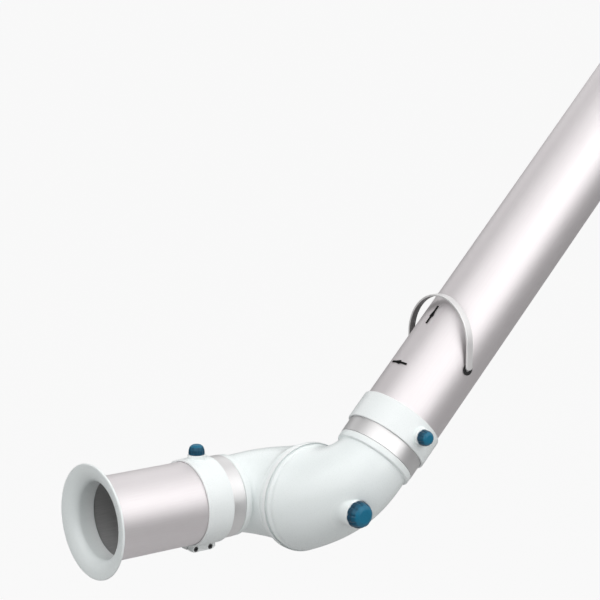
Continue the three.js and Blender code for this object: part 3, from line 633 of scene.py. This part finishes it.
pivot_grip = fluted_knob(radius=12.2, height=11.0, flutes=10, base=SEAT_TOP + FIT, bore=7.6, depth=8.0)
make_piece(
    "pivot_knob_grip", [(stand_y(pivot_grip), False)], UPPER_LIMB, "pivot_knob", ["pivot_knob"],
    blue_plastic, (0, 1, 0),
)
swivel_grip = fluted_knob(radius=7.4, height=8.5, flutes=8, base=BOSS_TOP + FIT, bore=STUD_R + FIT, depth=5.9)
for limb, side, turn in ((UPPER_LIMB, "upper", UPPER_KNOB), (LOWER_LIMB, "lower", LOWER_KNOB)):
    up = (0, math.cos(math.radians(turn)), math.sin(math.radians(turn)))
    make_piece(
        f"{side}_knob_grip", [(round_duct(stand_y(swivel_grip), COLLAR_AT, turn), False)], limb, f"{side}_knob",
        [f"{side}_swivel_knob"], blue_plastic, up,
    )

# Clamp collars


def collar_band():
    """The split band: an eased section (along, radius) swept about the duct from one side of the split to
    the other, with both ends drawn to a point inside the wall."""
    section = ring_outline(
        [(-COLLAR_HALF, COLLAR_BORE), (-COLLAR_HALF, COLLAR_R), (COLLAR_HALF, COLLAR_R), (COLLAR_HALF, COLLAR_BORE)],
        [0.25, 0.7, 0.7, 0.25], 5,
    )
    gap = math.asin(LUG_SPLIT / COLLAR_R)
    angle = np.linspace(math.pi + gap, 3 * math.pi - gap, 220)
    angle = np.concatenate([angle[:1], angle[:1], angle, angle[-1:], angle[-1:]])[:, None]
    middle = section.mean(0)
    draw = np.ones(len(angle))
    draw[[0, -1]] = 0
    draw[[1, -2]] = 0.98
    spot = middle + (section - middle)[None] * draw[:, None, None]
    return np.stack([spot[..., 0], spot[..., 1] * np.cos(angle), spot[..., 1] * np.sin(angle)], axis=-1)


def knob_boss():
    """The boss under a knob: rows run in along the band, up a hollow fillet and an eased edge to the flat
    top, down the stud's hole and back inside the band's wall. The band's height over a point is the root of
    the radius squared less the sideways distance squared."""
    angle = np.linspace(0, 2 * math.pi, 96, endpoint=False)[None]

    def band(rho):
        """Height of the band over a ring of points round the boss."""
        return np.sqrt(COLLAR_R**2 - (rho * np.sin(angle)) ** 2)

    t = np.linspace(0, math.pi / 2, 8)[:, None]
    fillet, edge, apron, skim = 1.6, 0.6, 0.9, 0.012
    hole, chamfer = STUD_R + 1.8, 0.2
    rho_out = fillet + np.array([[apron], [apron - 0.02], [apron - 0.6]])
    rho = BOSS_R + np.concatenate([rho_out, fillet * (1 - np.sin(t))]) + 0 * angle
    lift = np.concatenate([skim + 0 * rho_out, skim + fillet * (1 - np.cos(t))])
    skin = band(rho) + lift
    top_rho = BOSS_R - edge * (1 - np.cos(t)) + 0 * angle
    top = BOSS_TOP - edge * (1 - np.sin(t)) + 0 * angle
    flat_rho = np.array([[7.0], [hole + chamfer], [hole], [hole], [hole]]) + 0 * angle
    flat = np.array([[BOSS_TOP], [BOSS_TOP], [BOSS_TOP - chamfer], [BOSS_TOP - 0.5], [COLLAR_BORE + 0.2]]) + 0 * angle
    under_rho = BOSS_R + np.array([[0.0], [fillet + apron]]) + 0 * angle
    under = band(under_rho) - np.array([[1.4], [0.5]])
    rho = np.concatenate([rho, top_rho, flat_rho, under_rho])
    height = np.concatenate([skin, top, flat, under])
    return np.stack([rho * np.cos(angle), height, rho * np.sin(angle)], axis=-1)


def lug_block(side, face, seat, pocket):
    """A quarter of the clamp lug round one screw's axis, along Z: the screw's hole, its seat and pocket, the
    outer face, four eased edges, and the split face. The outline is a superellipse in each quarter turn, with
    a high power that gives nearly straight sides and a lower one at the free corner. The block with side 1 is
    0.03 mm smaller, so that no two faces share a plane where the blocks run into each other."""
    angle = np.linspace(0, 2 * math.pi, 180, endpoint=False)
    c, s = np.cos(angle), np.sin(angle)
    shy = 0.03 if side > 0 else 0.0
    overlap, root = SCREW_PITCH / 2 + 2.0, 38.0
    ends = (overlap, COLLAR_HALF - LUG_INSET - SCREW_PITCH / 2)
    if side < 0:
        ends = (COLLAR_HALF - SCREW_PITCH / 2, overlap)
    wide = np.where(c > 0, ends[1], ends[0]) - shy
    tall = np.where(s > 0, SCREW_AT - root, LUG_END - SCREW_AT) - shy
    square, free_corner = 40.0, 9.0 if side > 0 else 1.7
    power = np.where((s < 0) & (c * side > 0), free_corner, square)
    edge = ((np.abs(c) / wide) ** power + (np.abs(s) / tall) ** power) ** (-1 / power)
    way = 1 if face > 0 else -1
    depth, bed = abs(face) - LUG_SPLIT - shy, abs(face) - seat
    hole = np.full(angle.shape, 1.55)
    t = np.linspace(0, math.pi / 2, 7)[:, None]
    face_ease, split_ease, chamfer = 0.8, 0.4, 0.12
    wall = pocket(angle)
    rim = np.maximum(edge - face_ease, wall + 0.2)
    rows = [hole[None], hole[None], wall[None], wall[None], wall[None] + chamfer, rim[None] - 0.02]
    down = [np.array([[depth], [bed], [bed], [chamfer + shy], [shy], [shy]])]
    rows += [rim + (edge - rim) * np.sin(t), edge[None], edge[None] - split_ease * (1 - np.cos(t))]
    down += [shy + face_ease * (1 - np.cos(t)), np.array([[depth / 2]]), depth - split_ease * (1 - np.sin(t))]
    radius = np.concatenate(rows)
    z = way * (abs(face) - np.concatenate(down)) + 0 * angle
    return np.stack([side * SCREW_PITCH / 2 + radius * c, -SCREW_AT + radius * s, z], axis=-1)


def round_pocket(angle):
    """The screw head's pocket: one radius all round."""
    return np.full(angle.shape, 2.55)


def nut_pocket(angle):
    """The nut's pocket: a hexagon 0.6 mm wider than the nut."""
    return hexagon(5.6, angle)


def socket_screw():
    """A socket head screw along X: the shank, an eased head, and a hexagon socket whose loops follow the
    hexagon's radius."""
    angle = np.linspace(0, 2 * math.pi, 72, endpoint=False)[None]
    tip, under, top, shank, head = 9.1, -6.6, -9.1, 1.25, 2.25
    corners = [(tip, 0.0), (tip, shank), (under, shank), (under, head), (top, head), (top, 1.5)]
    line = eased(corners, [0.2, 0.1, 0.15, 0.45], 4)
    socket = hexagon(2.2, angle)
    along = np.concatenate([line[:, :1], [[top], [top + 0.1], [top + 1.2], [top + 1.3]]]) + 0 * angle
    radius = np.concatenate([line[:, 1:] + 0 * angle, socket + 0.08, socket, socket, 0 * socket])
    return np.stack([along, radius * np.cos(angle), radius * np.sin(angle)], axis=-1)


def hexagon_nut(across, low, high, hole, chamfer=0.93):
    """A nut along X: hexagon loops whose corners are turned down to a circle near both faces."""
    angle = np.linspace(0, 2 * math.pi, SMALL_FACETS, endpoint=False)[None]
    side = hexagon(across, angle)
    round_face = np.minimum(side, across / 2 * 1.01)
    soft = np.minimum(side, across / math.sqrt(3) * 0.985)
    drop = (1 - chamfer) * (high - low)
    radius = np.concatenate([hole + 0 * angle, hole + 0 * angle, round_face, soft, soft, round_face])
    along = np.array([[high], [low], [low], [low + drop], [high - drop], [high]]) + 0 * angle
    return np.stack([along, radius * np.cos(angle), radius * np.sin(angle)], axis=-1)


CLAMPS = (
    (UPPER_LIMB, "upper", UPPER_KNOB, "arm"),
    (LOWER_LIMB, "lower", LOWER_KNOB, "nozzle"),
)
HEAD_SEAT = 6.3
NUT_SEAT = 7.1
for limb, side, turn, body in CLAMPS:
    skins = [(collar_band(), False), (knob_boss(), True)]
    for end in (-1, 1):
        skins.append((lug_block(end, -LUG_HALF, HEAD_SEAT, round_pocket), True))
        skins.append((lug_block(end, LUG_HALF, NUT_SEAT, nut_pocket), True))
    skins = [(round_duct(grid, COLLAR_AT, turn), loop) for grid, loop in skins]
    make_piece(f"{side}_clamp_collar", skins, limb, body, [f"{side}_collar"], white_plastic)
    for k, end in ((1, -1), (2, 1)):
        shift = np.array([end * SCREW_PITCH / 2, -SCREW_AT, 0])
        screw = round_duct(stand_z(socket_screw()) + shift, COLLAR_AT, turn)
        make_piece(
            f"{side}_clamp_screw_{k}", [(screw, False)], limb, body, [f"{side}_collar_screw_{k}"],
            black_steel,
        )
        nut = hexagon_nut(across=5.0, low=7.4, high=9.1, hole=1.5)
        nut = round_duct(stand_z(nut) + shift, COLLAR_AT, turn)
        make_piece(
            f"{side}_clamp_nut_{k}", [(nut, True)], limb, body, [f"{side}_collar_nut_{k}"], zinc_steel
        )

# Pivot hardware


def flat_washer(inner, outer, low, high):
    """A washer: an eased rectangle turned about its hole."""
    corners = [(low, inner), (low, outer), (high, outer), (high, inner)]
    return stand_y(turned(ring_outline(corners, 0.25, 3), SMALL_FACETS))


def hexagon_bolt():
    """The pivot bolt: hexagon loops for the head with corners turned down at the top, then the plain shank
    with an eased end."""
    angle = np.linspace(0, 2 * math.pi, SMALL_FACETS, endpoint=False)[None]
    head, spring, nut, chamfer = 5.3, 1.4, 4.0, 0.7
    base = SEAT_TOP + FIT + WASHER + FIT
    top = base + head
    end = -(base + spring + FIT + nut)
    side = hexagon(13.0, angle)
    soft = np.minimum(side, 7.35)
    cap = np.minimum(side, 6.3)
    shank = BOLT_R + 0 * side
    radius = np.concatenate([0 * side, cap - 0.3, cap, soft, soft, cap, shank, shank, shank - chamfer, 0 * side])
    head_rows = [[top], [top], [top - 0.05], [top - chamfer], [base + chamfer / 2], [base]]
    shank_rows = [[base], [end + chamfer], [end], [end]]
    along = np.array(head_rows + shank_rows) + 0 * angle
    return stand_y(np.stack([along, radius * np.cos(angle), radius * np.sin(angle)], axis=-1))


washer = flat_washer(BOLT_HOLE, 8.0, SEAT_TOP + FIT, SEAT_TOP + FIT + WASHER)
make_piece(
    "pivot_bolt_hexagon", [(hexagon_bolt(), False)], LOWER_LIMB, "elbow_rear", ["pivot_bolt"], zinc_steel
)
make_piece(
    "pivot_washer_back", [(washer, True)], LOWER_LIMB, "elbow_rear", ["pivot_washer_rear"], zinc_steel
)

# Damper


def bail():
    """A flat band carried up a leg, over half a circle and down a leg. Its length run gives the swing about the
    circle's centre and the rise of the legs, and the section, an eased rectangle, adds to the circle's radius
    and to the width. The width closes in a quarter ellipse at both feet, and the whole leans 45 degrees."""
    leg, radius, foot, curve, half_width = 22.8, 39.6, 0.3, 2.2, 3.5
    arc, bend_at = math.pi * radius, leg + foot
    total = 2 * bend_at + arc
    rounding = 3 * (1 - np.cos(np.linspace(0, math.pi / 2, 12)))
    run = np.concatenate([rounding, np.linspace(3.4, bend_at, 18), bend_at + np.linspace(0, arc, 90)[1:-1]])
    run = np.unique(np.concatenate([run, total - run]))[:, None]
    swing = np.clip((run - bend_at) / radius, 0, math.pi)
    rise = leg - np.maximum(bend_at - run, 0) - np.maximum(run - bend_at - arc, 0)
    near = np.maximum(curve - np.minimum(run, total - run), 0)
    width = half_width - curve + np.sqrt(curve**2 - near**2)
    section = ring_outline([(-1, -1), (-1, 1), (1, 1), (1, -1)], 0.42, 4)
    reach = radius + section[None, :, 0]
    band = np.stack([-section[None, :, 1] * width, -np.cos(swing) * reach, -rise - np.sin(swing) * reach], axis=-1)
    poles = [band[:1].mean(1, keepdims=True) + 0 * band[:1], band[-1:].mean(1, keepdims=True) + 0 * band[-1:]]
    band = np.concatenate([poles[0], band, poles[1]])
    lean_x = (band[..., 0] - band[..., 2]) * ROOT2
    lean_z = (band[..., 0] + band[..., 2]) * ROOT2
    return round_duct(np.stack([lean_x, band[..., 1], lean_z], axis=-1), DAMPER_AT)


def bush():
    """A flanged bush along X: the flange has eased edges, and the hole goes through."""
    hole, shank, flange, seat, top = 2.3, 3.2, 5.4, 37.7, 38.4
    corners = [(BORE_R, hole), (BORE_R, shank), (seat, shank), (seat, flange), (top, flange), (top, hole)]
    return turned(ring_outline(corners, [0.1, 0.1, 0.05, 0.25, 0.3, 0.15], 4), 72)


def damper_disc():
    """The damper's disc: a thin round plate with eased edges."""
    half, rim = 0.6, 35.4
    line = eased([(-half, 0.0), (-half, rim), (half, rim), (half, 0.0)], 0.4, 4)
    return stand_z(turned(line, 160))


make_piece(
    "damper_bail_band", [(bail(), False)], UPPER_LIMB, "damper", ["damper_bail"], band_aluminium
)
make_piece(
    "damper_plate", [(round_duct(damper_disc(), DAMPER_AT), False)], UPPER_LIMB, "damper", ["damper_disc"],
    band_aluminium,
)
for side, way in (("near", 1), ("far", -1)):
    shape = round_duct(stand_y(bush()) * (way, way, 1), DAMPER_AT)
    make_piece(
        f"damper_bush_{side}_flange", [(shape, True)], UPPER_LIMB, "arm", [f"damper_bush_{side}"],
        black_plastic,
    )

# Arrow marks


def arrow(along, degrees, across):
    """An arrow laid on the tube: a section of four corners whose half width follows the line and its head
    along the run, wrapped round the tube by the angle of the run or the width over the radius."""
    half, line, head_half, base, tip, thickness = 10.0, 0.95, 2.2, -2.0, 4.0, 0.4
    tail, point, lead = np.linspace(-half, base, 24), np.linspace(base, tip, 14), np.linspace(tip, half, 18)
    run = np.concatenate([[-half, -half], tail, [base], point[1:], lead[1:], [half]])
    head = np.clip((tip - run) / (tip - base), 0, 1) * (head_half - line) + line
    width = np.where((run >= base) & (run <= tip), head, line)
    width[0] = width[-1] = 0
    width[len(tail) + 1] = line
    side = np.array([-1, -0.92, 0.92, 1, 1, 0.92, -0.92, -1])[None]
    top = np.array([0, 0, 0, 0, 0.7, 1, 1, 0.7])[None]
    radius = TUBE_R + FIT + thickness * top + 0 * width[:, None]
    turn = math.radians(degrees) + (run[:, None] + 0 * side if across else side * width[:, None]) / TUBE_R
    x = along + (side * width[:, None] if across else run[:, None] + 0 * side)
    return round_duct(np.stack([x, -radius * np.sin(turn), -radius * np.cos(turn)], axis=-1), DAMPER_AT)


open_mark = arrow(along=26.3, degrees=3, across=False)
shut_mark = arrow(along=-28.7, degrees=3.6, across=True)
make_piece(
    "open_arrow_mark", [(open_mark, False)], UPPER_LIMB, "arm", ["open_arrow"], mark_black
)
make_piece(
    "shut_arrow_mark", [(shut_mark, False)], UPPER_LIMB, "arm", ["closed_arrow"], mark_black
)

# Small inner pieces keep their solids
KEPT = {
    "elbow_friction_ring": friction_liner,
    "pivot_washer_front": zinc_steel,
    "pivot_disc_spring": zinc_steel,
    "pivot_knob_nut": turned_brass,
    "damper_pin_near": zinc_steel,
    "damper_pin_far": zinc_steel,
    "damper_screw_near": zinc_steel,
    "damper_screw_far": zinc_steel,
    "upper_swivel_stud": zinc_steel,
    "lower_swivel_stud": zinc_steel,
    "upper_knob_insert": turned_brass,
    "lower_knob_insert": turned_brass,
    "upper_brake_pad": nylon,
    "lower_brake_pad": nylon,
    "upper_swivel_seal": seal_rubber,
    "lower_swivel_seal": seal_rubber,
}
for node, finish in KEPT.items():
    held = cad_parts[node].data.materials
    held.clear()
    held.append(finish)

# Floor, light and camera


def seen_share(nodes, links, straight, mirrored):
    """How much of the plain pale backdrop a ray sees: one share straight from the camera, another by way of
    gloss or glass, and none for the light that falls on the object."""
    path = nodes.new("ShaderNodeLightPath")
    shares = []
    for ray, share in (("Is Camera Ray", straight), ("Is Glossy Ray", mirrored), ("Is Transmission Ray", mirrored)):
        part = nodes.new("ShaderNodeMath")
        part.operation = "MULTIPLY"
        part.inputs[1].default_value = share
        links.new(path.outputs[ray], part.inputs[0])
        shares.append(part.outputs["Value"])
    most = shares[0]
    for other in shares[1:]:
        larger = nodes.new("ShaderNodeMath")
        larger.operation = "MAXIMUM"
        links.new(most, larger.inputs[0])
        links.new(other, larger.inputs[1])
        most = larger.outputs["Value"]
    return most


def studio_floor(size, height):
    """A level square sheet round the object."""
    n = 9
    u, v = np.meshgrid(np.linspace(-size, size, n), np.linspace(-size, size, n), indexing="ij")
    points = np.stack([u, v, 0 * u + height], axis=-1).reshape(-1, 3)
    i, j = (m.ravel() for m in np.meshgrid(np.arange(n - 1), np.arange(n - 1), indexing="ij"))
    quads = np.stack([i * n + j, (i + 1) * n + j, (i + 1) * n + j + 1, i * n + j + 1], axis=1)
    mesh = bpy.data.meshes.new("studio_floor")
    mesh.from_pydata(points.tolist(), [], quads.tolist())
    paper = bpy.data.materials.new("pale_floor_paper")
    paper.use_nodes = True
    nodes, links = paper.node_tree.nodes, paper.node_tree.links
    nodes.remove(nodes["Principled BSDF"])
    matt = nodes.new("ShaderNodeBsdfDiffuse")
    matt.inputs["Color"].default_value = (0.62, 0.62, 0.62, 1)
    pale = nodes.new("ShaderNodeEmission")
    pale.inputs["Color"].default_value = (0.994, 0.994, 0.994, 1)
    mix = nodes.new("ShaderNodeMixShader")
    links.new(seen_share(nodes, links, 0.94, 0.09), mix.inputs["Fac"])
    links.new(matt.outputs["BSDF"], mix.inputs[1])
    links.new(pale.outputs["Emission"], mix.inputs[2])
    links.new(mix.outputs["Shader"], nodes["Material Output"].inputs["Surface"])
    mesh.materials.append(paper)
    floor = bpy.data.objects.new("studio_floor", mesh)
    bpy.context.scene.collection.objects.link(floor)


# Metres: the object's middle and the lamps' distance from it
MIDDLE = Vector((-0.30, 0.03, -0.22))
LAMP_DISTANCE = 2.1


def toward(azimuth, elevation):
    """Unit vector from the object: azimuth turns from the front towards the right, elevation goes up."""
    a, e = math.radians(azimuth), math.radians(elevation)
    return Vector((math.sin(a) * math.cos(e), -math.cos(a) * math.cos(e), math.sin(e)))


def soft_box(name, azimuth, elevation, size, power):
    """A wide soft light at the lamps' distance from the object's middle, turned to face it."""
    lamp = bpy.data.lights.new(name, "AREA")
    lamp.shape = "RECTANGLE"
    lamp.size, lamp.size_y = size
    lamp.energy = power
    holder = bpy.data.objects.new(name, lamp)
    holder.location = MIDDLE + toward(azimuth, elevation) * LAMP_DISTANCE
    holder.rotation_euler = (-toward(azimuth, elevation)).to_track_quat("-Z", "Y").to_euler()
    holder.visible_camera = False
    bpy.context.scene.collection.objects.link(holder)


studio_floor(size=60.0, height=-1.5)
soft_box("front_soft_box", 8, 25, (1.3, 2.2), 17.0)
soft_box("high_front_soft_box", 0, 55, (1.2, 1.2), 3.0)
soft_box("left_soft_box", -64, 28, (2.6, 1.9), 23.1)
soft_box("far_left_soft_box", -110, 35, (1.6, 1.4), 4.4)
soft_box("right_soft_box", 64, 31, (2.6, 1.9), 16.3)
soft_box("back_soft_box", 150, 36, (3.4, 1.2), 9.9)
soft_box("top_soft_box", 120, 78, (2.4, 2.2), 9.9)
soft_box("high_left_soft_box", -60, 60, (1.4, 1.2), 3.6)

world = bpy.data.worlds.new("studio_air")
bpy.context.scene.world = world
world.use_nodes = True
air, air_links = world.node_tree.nodes, world.node_tree.links
fill = air["Background"]
fill.inputs["Color"].default_value = (0.20, 0.20, 0.20, 1)
seen_air = air.new("ShaderNodeBackground")
seen_air.inputs["Color"].default_value = (0.939, 0.939, 0.939, 1)
choose = air.new("ShaderNodeMixShader")
air_links.new(seen_share(air, air_links, 1.0, 0.08), choose.inputs["Fac"])
air_links.new(fill.outputs["Background"], choose.inputs[1])
air_links.new(seen_air.outputs["Background"], choose.inputs[2])
air_links.new(choose.outputs["Shader"], air["World Output"].inputs["Surface"])

bpy.context.scene.view_settings.view_transform = "Standard"

# The camera fitted to the photo: metres, and pixels of a picture 600 wide
TARGET = Vector((-0.3822025, 0.04318, -0.1890125))
DISTANCE = 1.75742
SENSOR = 36.0
FOCAL_PIXELS = 1985.78
PICTURE_PIXELS = 600
away = toward(-37.43, 10.08)
eye = bpy.data.cameras.new("photo_camera")
eye.sensor_width = SENSOR
eye.lens = SENSOR * FOCAL_PIXELS / PICTURE_PIXELS
eye.clip_end = 200.0
viewer = bpy.data.objects.new("photo_camera", eye)
viewer.location = TARGET + away * DISTANCE
viewer.rotation_euler = (-away).to_track_quat("-Z", "Y").to_euler()
bpy.context.scene.collection.objects.link(viewer)
bpy.context.scene.camera = viewer
